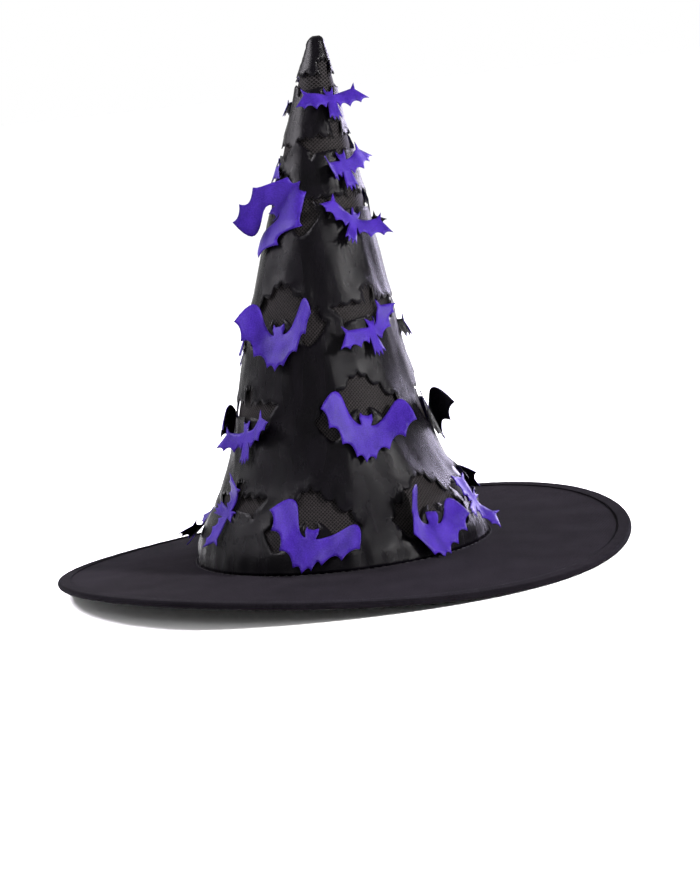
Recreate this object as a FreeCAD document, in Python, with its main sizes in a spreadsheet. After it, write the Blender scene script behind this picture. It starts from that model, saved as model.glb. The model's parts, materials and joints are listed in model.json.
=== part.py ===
import FreeCAD, Part
import Sketcher
import math
import os
from FreeCAD import Placement, Rotation, Vector

# A witch hat with cut-out bat flaps. Millimetres, +Z up, origin in the middle of the head opening,
# on the plane that the edge of the brim rests on. The wearer looks along -Y and has +X on the left.

DIMENSIONS = [
    ("BrimRadius", 186.0, "outer edge of the brim"),
    ("HeadRadius", 92.3, "head opening, 58 cm round"),
    ("ClothThick", 0.5, "brim cloth, one layer"),
    ("StiffenerThick", 1.5, "stiff felt inside the brim"),
    ("BindingThick", 0.4, "tape round the brim's edge"),
    ("BindingWidth", 8.5, "how far the tape covers the brim"),
    ("WireRoom", 2.6, "from the cut edge of the brim to the inside of the tape"),
    ("WireRadius", 0.8, "spring wire in the brim's edge"),
    ("SleeveLength", 16.0, "crimped sleeve over the wire's two ends"),
    ("SleeveThick", 0.35, "wall of that sleeve"),
    ("CoverThick", 0.6, "satin of the crown, two-faced"),
    ("MeshThick", 1.0, "stiff open-weave net inside the crown"),
    ("LayerGap", 0.3, "clearance between the layers of the crown"),
    ("BandThick", 0.8, "ribbon inside the head opening"),
    ("FlapThick", 0.6, "cloth of a bat flap"),
    ("FlapLift", 10.5, "degrees that a resting flap stands off the crown"),
    ("FlapStandoff", 1.6, "from the crown to the back of a flap at its fold"),
    ("LeastCurl", 30.0, "smallest bend radius of a flap"),
    ("StitchLength", 3.2, "one stitch"),
    ("StitchWidth", 0.6, "thickness of the thread"),
]

# The crown's outside: height above the brim, radius, and how far the crown leans towards +X.
CROWN = [
    (0.0, 94.5, 0.0),
    (17.0, 89.0, 0.0),
    (42.0, 76.0, 0.0),
    (80.0, 62.0, 0.0),
    (112.0, 54.0, 0.5),
    (168.0, 42.0, 4.3),
    (234.0, 27.0, 9.3),
    (294.0, 13.0, 14.8),
    (327.0, 4.0, 18.4),
]

# Half of each bat, seen from outside with the fold at height 0 between the ears. A third item marks
# the middle of a round stretch, which runs from the point before it to the point after it.
WIDE_BAT = [
    (3.6, 0.4), (3.2, -5.5), (9.3, -1.4, "arc"), (16.4, 9.0), (24.0, 13.2, "arc"), (32.2, 0.1),
    (27.2, -3.6, "arc"), (25.2, -11.1), (19.0, -10.4, "arc"), (14.9, -19.2),
    (9.6, -18.4, "arc"), (6.0, -25.7), (3.0, -24.2, "arc"), (0.0, -28.3),
]
SPIKY_BAT = [
    (3.0, 0.5), (2.5, -4.4), (16.4, -2.6), (20.0, 1.6), (19.2, -3.8), (26.6, -12.6),
    (22.8, -12.0, "arc"), (20.5, -14.4), (16.2, -12.2, "arc"), (12.2, -15.6),
    (8.6, -12.0, "arc"), (5.6, -14.6), (3.0, -10.2), (4.6, -22.8), (2.6, -20.4),
    (1.5, -24.5), (0.0, -20.8),
]
DESIGNS = {"wide": WIDE_BAT, "spiky": SPIKY_BAT}

# Rows of bats from the brim up: height of the row above the brim, then each bat's angle from the
# front (-Y) towards +X, how far its fold is above the row's height, its design and its size.
BAT_ROWS = [
    (26.0, [(-13, 0, "wide", 1.0), (43, 0, "wide", 1.0), (81, 0, "spiky", 1.0),
            (125, 0, "wide", 1.0), (170, 0, "spiky", 1.0), (215, 0, "wide", 1.0),
            (260, 0, "spiky", 1.0), (304, 8, "spiky", 1.0)]),
    (89.5, [(-60, 0, "spiky", 1.0), (21.5, 0, "wide", 1.0), (100, 0, "wide", 1.0),
            (170, 0, "spiky", 1.0), (235, 0, "wide", 1.0)]),
    (146.0, [(-37, 3, "wide", 1.0), (40, 0, "spiky", 1.0), (114, 0, "spiky", 1.0),
             (185, 0, "spiky", 0.95), (252, 0, "spiky", 1.0)]),
    (209.0, [(-57, 8, "wide", 1.0), (45, 4.5, "spiky", 1.0), (132, 0, "spiky", 0.7),
             (205, 0, "spiky", 0.7)]),
    (251.0, [(38, 0, "spiky", 1.0), (163, 0, "spiky", 0.7), (266, 0, "spiky", 0.7)]),
    (290.5, [(31, 0, "spiky", 0.95), (213, 0, "spiky", 0.7)]),
]

# The net's tiers, from the brim up: the first and the last crown ring of each.
NET_TIERS = [("net_low", 0, 3), ("net_middle", 3, 5), ("net_tip", 5, 8)]
LAST_RING = len(CROWN) - 1

# How many stitches each row has, and where the rows run.
CROWN_STITCHES = 118
CROWN_STITCHES_OUT = 1.6  # from the crown's foot
EDGE_STITCHES = 176
EDGE_STITCHES_IN = 7.6  # from the brim's edge, through its tape
BAND_STITCHES = 96
BAND_STITCHES_UP = 3.0  # above the brim
SEAM_STITCHES = 64
SEAM_ANGLE = 148.0  # of the crown's back seam, which passes between the bats of the lower rows
SEAM_START = 6.0  # above the brim
SEAM_END = 10.0  # below the tip
STITCH_GAP = 0.05  # between the thread and the cloth that it lies on
CLEAR_OF_HOLE = 4.0  # how far the seam's stitches stay from a cut-out
CLEAR_OF_RING = 2.0  # and from a crown ring, where the slope changes

WIRE_GAP = 0.5  # degrees between the wire's two ends, inside the sleeve
MOST_WRAP = math.radians(70)  # the widest that a cut-out is projected to either side
HOLE_REACH = 5.0  # how far a cutting tool stands out of the crown
HOLE_DEPTH = 0.95  # the deepest that it goes in, as a share of the radius
BLANK_HEIGHT = 90.0  # of the rolls that a flap is bent round, more than any flap's
HOLLOW = 0.2  # a shell keeps less than this share of what it is hollowed from

doc = FreeCAD.newDocument("WitchHat")
sheet = doc.addObject("Spreadsheet::Sheet", "Sizes")


def fill_sheet():
    """Writes every driving dimension into the sheet under its alias."""
    rows = list(DIMENSIONS)
    for number, (height, radius, lean) in enumerate(CROWN):
        rows.append((f"Ring{number}Height", height, "crown ring, height above the brim"))
        rows.append((f"Ring{number}Radius", radius, "crown ring, outside radius"))
        rows.append((f"Ring{number}Lean", lean, "crown ring, lean towards +X"))
    for line, (alias, value, note) in enumerate(rows, start=1):
        sheet.set(f"A{line}", alias)
        sheet.set(f"B{line}", str(value))
        sheet.set(f"C{line}", note)
        sheet.setAlias(f"B{line}", alias)
    doc.recompute()


fill_sheet()

# Heights of the brim's layers, as formulas on the sheet.
UNDER_LOW = "Sizes.BindingThick"
UNDER_TOP = f"({UNDER_LOW} + Sizes.ClothThick)"
FELT_TOP = f"({UNDER_TOP} + Sizes.StiffenerThick)"
BRIM_TOP = f"({FELT_TOP} + Sizes.ClothThick)"
BINDING_TOP = f"({BRIM_TOP} + Sizes.BindingThick)"
CUT_EDGE = "(Sizes.BrimRadius - Sizes.BindingThick - Sizes.WireRoom)"
WIRE_RING = "(Sizes.BrimRadius - Sizes.BindingThick - Sizes.WireRadius - Sizes.SleeveThick)"

brim_top = 2 * sheet.ClothThick + sheet.StiffenerThick + sheet.BindingThick


def origin_item(body, role):
    """Returns a body's own origin plane or axis by its role."""
    return next(item for item in body.Origin.OriginFeatures if item.Role == role)


def new_body(label):
    body = doc.addObject("PartDesign::Body", label)
    body.Label = label
    return body


def sketch_on(body, name, plane):
    sketch = body.newObject("Sketcher::SketchObject", name)
    sketch.AttachmentSupport = (origin_item(body, plane), [""])
    sketch.MapMode = "FlatFace"
    return sketch


def evaluate(formula):
    """Value of a formula on the sheet."""
    return float(sheet.evalExpression(formula))


def revolved(label, corners, angle=360.0):
    """A ring turned about Z from a cross-section whose corners are (radius, height) formulas."""
    body = new_body(label)
    sketch = sketch_on(body, f"{label}_section", "XZ_Plane")
    doc.recompute()
    points = [Vector(evaluate(radius), evaluate(height), 0) for radius, height in corners]
    for start, end in zip(points, points[1:] + points[:1]):
        sketch.addGeometry(Part.LineSegment(start, end))
    for number, (radius, height) in enumerate(corners):
        previous = (number - 1) % len(corners)
        sketch.addConstraint(Sketcher.Constraint("Coincident", previous, 2, number, 1))
        across = sketch.addConstraint(
            Sketcher.Constraint("DistanceX", -1, 1, number, 1, points[number].x))
        up = sketch.addConstraint(
            Sketcher.Constraint("DistanceY", -1, 1, number, 1, points[number].y))
        sketch.setExpression(f"Constraints[{across}]", radius)
        sketch.setExpression(f"Constraints[{up}]", height)
    turn = body.newObject("PartDesign::Revolution", f"{label}_turn")
    turn.Profile = sketch
    turn.ReferenceAxis = (sketch, ["V_Axis"])
    turn.Angle = angle
    return body


def wire_part(label, thick, inner, angle, start):
    """A round bar, or a tube where inner is given, bent along the brim's edge."""
    body = new_body(label)
    sketch = sketch_on(body, f"{label}_section", "XZ_Plane")
    centre = Vector(evaluate(WIRE_RING), evaluate(f"({UNDER_LOW} + {BRIM_TOP}) / 2"), 0)
    for number, radius in enumerate([thick] + ([inner] if inner else [])):
        sketch.addGeometry(Part.Circle(centre, Vector(0, 0, 1), evaluate(radius)))
        size = sketch.addConstraint(Sketcher.Constraint("Radius", number, evaluate(radius)))
        sketch.setExpression(f"Constraints[{size}]", radius)
    across = sketch.addConstraint(Sketcher.Constraint("DistanceX", -1, 1, 0, 3, centre.x))
    up = sketch.addConstraint(Sketcher.Constraint("DistanceY", -1, 1, 0, 3, centre.y))
    sketch.setExpression(f"Constraints[{across}]", WIRE_RING)
    sketch.setExpression(f"Constraints[{up}]", f"({UNDER_LOW} + {BRIM_TOP}) / 2")
    if inner:
        sketch.addConstraint(Sketcher.Constraint("Coincident", 1, 3, 0, 3))
    turn = body.newObject("PartDesign::Revolution", f"{label}_turn")
    turn.Profile = sketch
    turn.ReferenceAxis = (sketch, ["V_Axis"])
    turn.Angle = angle
    body.Placement = Placement(Vector(), Rotation(Vector(0, 0, 1), start))
    return body


def crown_loft(body, name, kind, inset, first, last, drop_foot, drop_top):
    """Adds or removes the crown's shape between two of its rings, shrunk by the formula inset and
    with its end rings lowered by two more formulas."""
    sketches = []
    for number in range(first, last + 1):
        sketch = sketch_on(body, f"{name}_ring{number}", "XY_Plane")
        radius = f"Sizes.Ring{number}Radius - ({inset})"
        sketch.addGeometry(Part.Circle(Vector(0, 0, 0), Vector(0, 0, 1), evaluate(radius)))
        sketch.addConstraint(Sketcher.Constraint("Coincident", 0, 3, -1, 1))
        size = sketch.addConstraint(Sketcher.Constraint("Radius", 0, evaluate(radius)))
        sketch.setExpression(f"Constraints[{size}]", radius)
        drop = {first: drop_foot, last: drop_top}.get(number, "0")
        sketch.setExpression(".AttachmentOffset.Base.z",
                             f"Sizes.Ring{number}Height + {BRIM_TOP} - ({drop})")
        sketch.setExpression(".AttachmentOffset.Base.x", f"Sizes.Ring{number}Lean")
        sketches.append(sketch)
    doc.recompute()
    loft = body.newObject(f"PartDesign::{kind}", name)
    loft.Profile = sketches[0]
    loft.Sections = sketches[1:]
    loft.Ruled = True
    return loft


def crown_shell(label, inset, thick, first=0, last=LAST_RING):
    """A shell that follows the crown between two of its rings, open at the bottom. Only the one
    that ends at the tip is closed at the top."""
    body = new_body(label)
    foot_gap = "Sizes.LayerGap / 3" if first == 0 else "0"
    foot_through = "Sizes.LayerGap" if first == 0 else "0"
    top_gap, top_left = (inset, f"{inset} + {thick}") if last == LAST_RING else ("0", "0")
    crown_loft(body, f"{label}_outside", "AdditiveLoft", inset, first, last, f"-{foot_gap}", top_gap)
    doc.recompute()
    full = body.Shape.Volume
    crown_loft(body, f"{label}_inside", "SubtractiveLoft", f"{inset} + {thick}", first, last,
               foot_through, top_left)
    doc.recompute()
    assert body.Shape.Volume < HOLLOW * full, f"{label} is not hollow"
    return body


def crown_at(height):
    """Radius, slope of the radius, lean and slope of the lean at a height above the brim."""
    for (low, r_low, x_low), (high, r_high, x_high) in zip(CROWN, CROWN[1:]):
        if height <= high:
            share = (height - low) / (high - low)
            return (r_low + share * (r_high - r_low), (r_high - r_low) / (high - low),
                    x_low + share * (x_high - x_low), (x_high - x_low) / (high - low))
    raise ValueError("above the crown")


def crown_frame(height, angle):
    """Placement on the crown's outside: X along the ring, Y up the slope, Z outwards."""
    radius, taper, lean, leaning = crown_at(height)
    turn = math.radians(angle)
    outwards = Vector(math.sin(turn), -math.cos(turn), 0)
    along = Vector(math.cos(turn), math.sin(turn), 0)
    up = (outwards * taper + Vector(leaning, 0, 1)).normalize()
    normal = along.cross(up).normalize()
    place = outwards * radius + Vector(lean, 0, height + brim_top)
    return Placement(place, Rotation(along, normal.cross(along), normal, "ZXY"))


def wrap(design, size, radius):
    """Angle that half a bat covers on a round surface, no more than can be seen square on."""
    half_span = max(point[0] for point in DESIGNS[design])
    return min(MOST_WRAP, half_span * size / radius), half_span


def bent(point, design, size, radius, side, upright):
    """A point of a bat's outline on a sheet bent to a radius, seen square on."""
    widest, half_span = wrap(design, size, radius)
    across = side * widest * point[0] / half_span
    return Vector(radius * math.sin(across), upright * point[1] * size, 0)


def bat_outline(name, design, size, radius, upright):
    """Sketch of a whole bat: the half outline, then the same mirrored back to its start."""
    half = DESIGNS[design]
    both = [(point, 1) for point in half] + [(point, -1) for point in reversed(half[:-1])]
    sketch = doc.addObject("Sketcher::SketchObject", name)
    spots = [(bent(point, design, size, radius, side, upright), len(point) == 3)
             for point, side in both]
    start, middle = spots[0][0], None
    for spot, is_middle in spots[1:] + spots[:1]:
        if is_middle:
            middle = spot
        else:
            edge = Part.Arc(start, middle, spot) if middle else Part.LineSegment(start, spot)
            sketch.addGeometry(edge)
            start, middle = spot, None
    return sketch


def extruded(name, sketch, inwards, outwards):
    solid = doc.addObject("Part::Extrusion", name)
    solid.Base = sketch
    solid.DirMode = "Custom"
    solid.Dir = Vector(0, 0, 1)
    solid.LengthRev = inwards
    solid.LengthFwd = outwards
    solid.Solid = True
    return solid


def bat_hole(name, height, angle, design, size):
    """Tool for a cut-out: the bat upside down above its fold, through the cover's near side."""
    radius = crown_at(height)[0]
    widest = wrap(design, size, radius)[0]
    deep = radius * (1 - math.cos(widest)) + HOLE_REACH
    tool = extruded(f"{name}_hole", bat_outline(f"{name}_hole_line", design, size, radius, -1),
                    min(deep, HOLE_DEPTH * radius), HOLE_REACH)
    tool.Placement = crown_frame(height, angle)
    return tool


def bat_flap(name, height, angle, design, size):
    """A flap folded out and down, its wings bent away from the crown."""
    curl = max(crown_at(height)[0], sheet.LeastCurl)
    depth = 2 * curl * (1 - math.cos(MOST_WRAP))
    blank = extruded(f"{name}_blank", bat_outline(f"{name}_line", design, size, curl, 1), 1, depth)
    bend = []
    for part, less in (("back", "0"), ("front", "Sizes.FlapThick")):
        roll = doc.addObject("Part::Cylinder", f"{name}_{part}")
        roll.setExpression("Radius", f"{curl} - {less}")
        roll.Height = BLANK_HEIGHT
        roll.Placement = Placement(Vector(0, BLANK_HEIGHT / 2, curl), Rotation(Vector(1, 0, 0), 90))
        bend.append(roll)
    skin = doc.addObject("Part::Cut", f"{name}_bend")
    skin.Base, skin.Tool = bend
    flap = doc.addObject("Part::Common", name)
    flap.Base, flap.Tool = blank, skin
    flap.Label = name
    off = Placement(Vector(0, 0, sheet.FlapStandoff),
                    Rotation(Vector(1, 0, 0), -sheet.FlapLift))
    flap.Placement = crown_frame(height, angle) * off
    return flap


def bats():
    """Name, height, angle, design and size of every bat."""
    for row, (height, ring) in enumerate(BAT_ROWS, start=1):
        for number, (angle, rise, design, size) in enumerate(ring, start=1):
            yield f"bat_row{row}_{number}", height + rise, angle, design, size


def stitch(place):
    """One stitch lying along X on a surface whose outside is +Z."""
    length, width = sheet.StitchLength, sheet.StitchWidth
    thread = Part.makeBox(length, width, width / 2, Vector(-length / 2, -width / 2, STITCH_GAP))
    thread.Placement = place
    return thread


def stitch_group(label, places):
    group = doc.addObject("Part::Feature", label)
    group.Label = label
    group.Shape = Part.makeCompound([stitch(place) for place in places])
    return group


def ring_places(count, radius, height):
    """Evenly spaced places round Z on a level surface."""
    for number in range(count):
        turn = Rotation(Vector(0, 0, 1), 360.0 * number / count)
        yield Placement(turn.multVec(Vector(0, -radius, height)), turn)


def is_free(height):
    """Whether a stitch of the back seam has room there, clear of every cut-out, which reaches up
    from its bat's fold, and of the rings where the slope changes."""
    if any(abs(height - ring[0]) < CLEAR_OF_RING for ring in CROWN):
        return False
    radius = crown_at(height)[0]
    for _, fold, angle, design, size in bats():
        wide = size * max(point[0] for point in DESIGNS[design]) + CLEAR_OF_HOLE
        above = fold + size * max(-point[1] for point in DESIGNS[design]) + CLEAR_OF_HOLE
        below = fold - size * max(point[1] for point in DESIGNS[design]) - CLEAR_OF_HOLE
        aside = math.radians(abs(SEAM_ANGLE - angle)) * radius
        if aside < wide and below < height < above:
            return False
    return True


def seam_places():
    """Places up the back of the crown, with each stitch running up the slope."""
    upright = Placement(Vector(), Rotation(Vector(0, 0, 1), 90))
    spacing = (CROWN[-1][0] - SEAM_START - SEAM_END) / (SEAM_STITCHES - 1)
    for number in range(SEAM_STITCHES):
        height = SEAM_START + number * spacing
        if is_free(height):
            yield crown_frame(height, SEAM_ANGLE) * upright


def band_places():
    """Places round the inside of the head ribbon, near its foot."""
    inside = sheet.CoverThick + sheet.MeshThick + 2 * sheet.LayerGap + sheet.BandThick
    for number in range(BAND_STITCHES):
        face = crown_frame(BAND_STITCHES_UP, 360.0 * number / BAND_STITCHES)
        inwards = Rotation(Vector(0, 1, 0), 180)
        slip = face.Rotation.multVec(Vector(0, 0, -inside - 2 * STITCH_GAP))
        yield Placement(face.Base + slip, face.Rotation * inwards)


parts = []
parts.append(revolved("brim_under_cover", [
    ("Sizes.HeadRadius", UNDER_LOW), (CUT_EDGE, UNDER_LOW),
    (CUT_EDGE, UNDER_TOP), ("Sizes.HeadRadius", UNDER_TOP)]))
parts.append(revolved("brim_stiffener", [
    ("Sizes.HeadRadius", UNDER_TOP), (CUT_EDGE, UNDER_TOP),
    (CUT_EDGE, FELT_TOP), ("Sizes.HeadRadius", FELT_TOP)]))
parts.append(revolved("brim_top_cover", [
    ("Sizes.HeadRadius", FELT_TOP), (CUT_EDGE, FELT_TOP),
    (CUT_EDGE, BRIM_TOP), ("Sizes.HeadRadius", BRIM_TOP)]))

TAPE_IN = "(Sizes.BrimRadius - Sizes.BindingWidth)"
TAPE_BACK = "(Sizes.BrimRadius - Sizes.BindingThick)"
parts.append(revolved("edge_binding", [
    (TAPE_IN, "0"), ("Sizes.BrimRadius", "0"), ("Sizes.BrimRadius", BINDING_TOP),
    (TAPE_IN, BINDING_TOP), (TAPE_IN, BRIM_TOP), (TAPE_BACK, BRIM_TOP),
    (TAPE_BACK, UNDER_LOW), (TAPE_IN, UNDER_LOW)]))
doc.recompute()


sleeve_angle = math.degrees(sheet.SleeveLength / evaluate(WIRE_RING))
parts.append(wire_part("edge_wire", "Sizes.WireRadius", None, 360 - WIRE_GAP, 90))
parts.append(wire_part("wire_sleeve", "Sizes.WireRadius + Sizes.SleeveThick", "Sizes.WireRadius",
                       sleeve_angle, 90 - sleeve_angle / 2))

MESH_INSET = "Sizes.CoverThick + Sizes.LayerGap"
BAND_INSET = f"{MESH_INSET} + Sizes.MeshThick + Sizes.LayerGap"
parts.extend(crown_shell(tier, MESH_INSET, "Sizes.MeshThick", first, last)
             for tier, first, last in NET_TIERS)
cover_blank = crown_shell("cover_blank", "0", "Sizes.CoverThick")
doc.recompute()

holes = doc.addObject("Part::MultiFuse", "bat_holes")
holes.Shapes = [bat_hole(*bat) for bat in bats()]
cover = doc.addObject("Part::Cut", "satin_cover")
cover.Base, cover.Tool = cover_blank, holes
cover.Label = "satin_cover"
parts.append(cover)

BAND_FOOT = f"Sizes.Ring0Radius - ({BAND_INSET})"
BAND_HEAD = f"Sizes.Ring1Radius - ({BAND_INSET})"
BAND_LOW = f"{BRIM_TOP} + Sizes.LayerGap"
BAND_HIGH = f"{BRIM_TOP} + Sizes.Ring1Height"
parts.append(revolved("sweatband", [
    (f"{BAND_FOOT} - Sizes.BandThick", BAND_LOW), (BAND_FOOT, BAND_LOW),
    (BAND_HEAD, BAND_HIGH), (f"{BAND_HEAD} - Sizes.BandThick", BAND_HIGH)]))

parts.append(stitch_group("crown_seam_stitches",
                          ring_places(CROWN_STITCHES, CROWN[0][1] + CROWN_STITCHES_OUT, brim_top)))
parts.append(stitch_group("edge_topstitch",
                          ring_places(EDGE_STITCHES, sheet.BrimRadius - EDGE_STITCHES_IN,
                                      brim_top + sheet.BindingThick)))
parts.append(stitch_group("back_seam_stitches", seam_places()))
parts.append(stitch_group("sweatband_stitches", band_places()))
parts.extend(bat_flap(*bat) for bat in bats())
doc.recompute()

for item in doc.Objects:
    if {"Invalid", "Error"} & set(item.State):
        raise RuntimeError(f"{item.Label} failed: {item.State}")
os.makedirs("parts", exist_ok=True)
for part in parts:
    if part.Shape.isNull() or not part.Shape.isValid():
        raise RuntimeError(f"{part.Label} has no valid shape")
    part.Shape.exportStep(f"parts/{part.Label}.step")
    print(part.Label, len(part.Shape.Solids), round(part.Shape.Volume, 1))
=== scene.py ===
"""Looks of a witch hat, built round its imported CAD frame. The front is towards -Y and +Z is up."""

import json
import math
import random

import bpy
import numpy as np
from mathutils import Matrix, Vector, noise
from mathutils.geometry import delaunay_2d_cdt


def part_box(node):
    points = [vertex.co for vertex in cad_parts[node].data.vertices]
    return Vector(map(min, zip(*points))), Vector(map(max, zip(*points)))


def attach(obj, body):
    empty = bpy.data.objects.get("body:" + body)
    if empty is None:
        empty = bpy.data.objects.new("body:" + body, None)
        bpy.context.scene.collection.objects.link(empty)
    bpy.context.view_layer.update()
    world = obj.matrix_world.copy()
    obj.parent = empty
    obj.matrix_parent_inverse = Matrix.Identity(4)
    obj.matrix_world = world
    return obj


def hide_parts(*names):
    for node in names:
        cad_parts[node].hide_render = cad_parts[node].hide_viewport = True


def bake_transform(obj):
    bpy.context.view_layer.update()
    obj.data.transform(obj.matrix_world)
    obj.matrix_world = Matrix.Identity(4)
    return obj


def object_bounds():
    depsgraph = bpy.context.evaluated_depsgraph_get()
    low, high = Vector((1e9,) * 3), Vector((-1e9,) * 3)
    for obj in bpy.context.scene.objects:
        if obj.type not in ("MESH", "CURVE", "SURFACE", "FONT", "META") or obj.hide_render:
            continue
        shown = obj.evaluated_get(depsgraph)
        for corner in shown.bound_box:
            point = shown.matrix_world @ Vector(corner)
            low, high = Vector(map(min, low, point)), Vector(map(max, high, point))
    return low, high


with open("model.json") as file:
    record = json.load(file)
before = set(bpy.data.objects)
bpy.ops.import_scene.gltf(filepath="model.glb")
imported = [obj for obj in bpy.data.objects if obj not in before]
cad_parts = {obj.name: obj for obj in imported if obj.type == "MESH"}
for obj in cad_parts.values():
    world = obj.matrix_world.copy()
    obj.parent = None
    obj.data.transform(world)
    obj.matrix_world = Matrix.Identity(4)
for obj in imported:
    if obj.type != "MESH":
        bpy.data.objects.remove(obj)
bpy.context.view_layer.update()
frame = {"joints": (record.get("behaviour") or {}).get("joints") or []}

# Lengths below are in millimetres, and mesh() turns them into metres.
MM = 0.001
TAU = 2 * math.pi

# ------------ sizes

BRIM_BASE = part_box("brim_under_cover")[0].z / MM
FELT_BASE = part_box("brim_stiffener")[0].z / MM
FELT_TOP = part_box("brim_stiffener")[1].z / MM
BRIM_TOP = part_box("brim_top_cover")[1].z / MM
BRIM_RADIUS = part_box("edge_binding")[1].x / MM
CUT_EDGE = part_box("brim_top_cover")[1].x / MM
TAPE_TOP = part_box("edge_binding")[1].z / MM
HEAD_RADIUS = 92.3
TAPE_WIDTH = 8.5
WIRE_RING = 184.45
WIRE_RADIUS = 0.8
SLEEVE_RADIUS = 1.15
SLEEVE_LENGTH = 16.0
TAPE_ROUND = 1.4  # how far the tape's rounded edge stands out
TAPE_THICK = 0.38

# The cloths, net and ribbon are drawn a little thinner here than in part.py.
COVER_THICK = 0.45
NET_INSET = 0.9
NET_THICK = 0.8
BAND_INSET = 2.3
BAND_THICK = 0.7
BAND_TOP = 17.0
STANDOFF = 1.6
FLAP_THICK = 0.45

# The crown's outside, as in part.py: height above the brim, radius, and lean towards +X.
CROWN = [
    (0.0, 94.5, 0.0), (17.0, 89.0, 0.0), (42.0, 76.0, 0.0), (80.0, 62.0, 0.0),
    (112.0, 54.0, 0.5), (168.0, 42.0, 4.3), (234.0, 27.0, 9.3), (294.0, 13.0, 14.8),
    (327.0, 4.0, 18.4),
]
TIP_ROUND = 3.2  # how far below its top the tip begins to round over

# Half of each bat, as in part.py but with the ears drawn: the fold is at height 0 between them, and
# a third item marks the middle of a round stretch.
WIDE_BAT = [
    (1.8, 0.0), (3.9, 2.2), (4.4, -1.4), (3.2, -5.0), (9.3, -1.4, "arc"), (16.4, 9.0),
    (24.0, 13.2, "arc"), (32.2, 0.1), (27.2, -3.6, "arc"), (25.2, -11.1),
    (19.0, -10.4, "arc"), (14.9, -19.2),
    (9.6, -18.4, "arc"), (6.0, -25.7), (3.0, -24.2, "arc"), (0.0, -28.3),
]
SPIKY_BAT = [
    (1.5, 0.0), (3.4, 2.4), (3.3, -1.0), (2.4, -4.2), (16.4, -2.6), (20.0, 1.6), (19.2, -3.8),
    (26.6, -12.6), (22.8, -12.0, "arc"), (20.5, -14.4), (16.2, -12.2, "arc"), (12.2, -15.6),
    (8.6, -12.0, "arc"), (5.6, -14.6), (3.0, -10.2), (4.6, -22.8), (2.6, -20.4),
    (1.5, -24.5), (0.0, -20.8),
]
DESIGNS = {"wide": WIDE_BAT, "spiky": SPIKY_BAT}
BODY_HALF = 4.0  # half the width of a bat's body, where its wings begin to bend

# Which design and size each flap has, in the order of part.py's rows.
FLAPS = {
    1: [("wide", 1.0), ("wide", 1.0), ("spiky", 1.0), ("wide", 1.0), ("spiky", 1.0),
        ("wide", 1.0), ("spiky", 1.0), ("spiky", 1.0)],
    2: [("spiky", 1.0), ("wide", 1.0), ("wide", 1.0), ("spiky", 1.0), ("wide", 1.0)],
    3: [("wide", 1.0), ("spiky", 1.0), ("spiky", 1.0), ("spiky", 0.95), ("spiky", 1.0)],
    4: [("wide", 1.0), ("spiky", 1.0), ("spiky", 0.7), ("spiky", 0.7)],
    5: [("spiky", 1.0), ("spiky", 0.7), ("spiky", 0.7)],
    6: [("spiky", 0.95), ("spiky", 0.7)],
}

# How a flap hangs, in degrees. lift: off the crown at its fold. droop: change of that towards the
# tail. left, right: bend of each wing away from the crown at its root and towards its tip. tilt:
# turn in its own plane, the right wing up. sweep: each wing raised in its own plane.
HANG = {
    "bat_row1_1": dict(lift=10, droop=-8, left=(26, 6), right=(5, -4), tilt=-14, sweep=(12, -14),
                       aside=2),
    "bat_row1_2": dict(lift=8, droop=-4, left=(50, 5), right=(6, 4), tilt=-10, sweep=(32, 0),
                       aside=-8, sag=5),
    "bat_row1_3": dict(lift=20, droop=-8, left=(10, 5), right=(8, 4), tilt=-80, sweep=(0, 0), yaw=-28),
    "bat_row1_8": dict(lift=5, droop=0, left=(35, 5), right=(2, 0), tilt=-106, sweep=(0, 0), aside=1),
    "bat_row2_1": dict(lift=8, droop=-4, left=(24, 10), right=(6, 2), tilt=12, sweep=(0, 26), aside=3),
    "bat_row2_2": dict(lift=8, droop=-5, left=(10, 6), right=(16, 8), tilt=-14, sweep=(4, 0)),
    "bat_row2_3": dict(lift=3, droop=0, left=(24, 50), right=(-10, -10), tilt=8, sweep=(0, 0), sag=5),
    "bat_row2_5": dict(lift=16, droop=-4, left=(20, 10), right=(50, -120), tilt=-12, sweep=(0, 0),
                       sag=3),
    "bat_row3_1": dict(lift=12, droop=-6, left=(32, 16), right=(20, 14), tilt=4, sweep=(6, 8),
                       aside=2, sag=1),
    "bat_row3_2": dict(lift=18, droop=-8, left=(-5, -5), right=(15, 6), tilt=8, sweep=(3, 38),
                       aside=-6, sag=-1),
    "bat_row3_3": dict(lift=8, droop=-4, left=(-5, -5), right=(-10, -5), tilt=0, sweep=(0, 0)),
    "bat_row3_5": dict(lift=5, droop=-3, left=(-20, -10), right=(-20, -10), tilt=0, sweep=(0, 0)),
    "bat_row4_1": dict(lift=-38, droop=0, left=(10, 5), right=(10, 5), tilt=150, sweep=(42, 48),
                       yaw=52, aside=-2, sag=-1),
    "bat_row4_2": dict(lift=18, droop=-8, left=(2, 2), right=(24, 12), tilt=-36, sweep=(8, 16),
                       aside=-1, sag=-1),
    "bat_row4_3": dict(lift=20, droop=-4, left=(45, 10), right=(10, 5), tilt=-8, sweep=(0, 0)),
    "bat_row5_1": dict(lift=14, droop=-6, left=(38, 18), right=(-10, -5), tilt=6, sweep=(-8, 18),
                       aside=-1, sag=0),
    "bat_row5_3": dict(lift=5, droop=-3, left=(-20, -10), right=(-20, -10), tilt=0, sweep=(0, 0)),
    "bat_row6_1": dict(lift=24, droop=-8, left=(-8, -8), right=(10, 6), tilt=-4, sweep=(2, 4), sag=-2),
    "bat_row6_2": dict(lift=8, droop=-4, left=(-20, -10), right=(-30, -10), tilt=0, sweep=(0, 0)),
}

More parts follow.
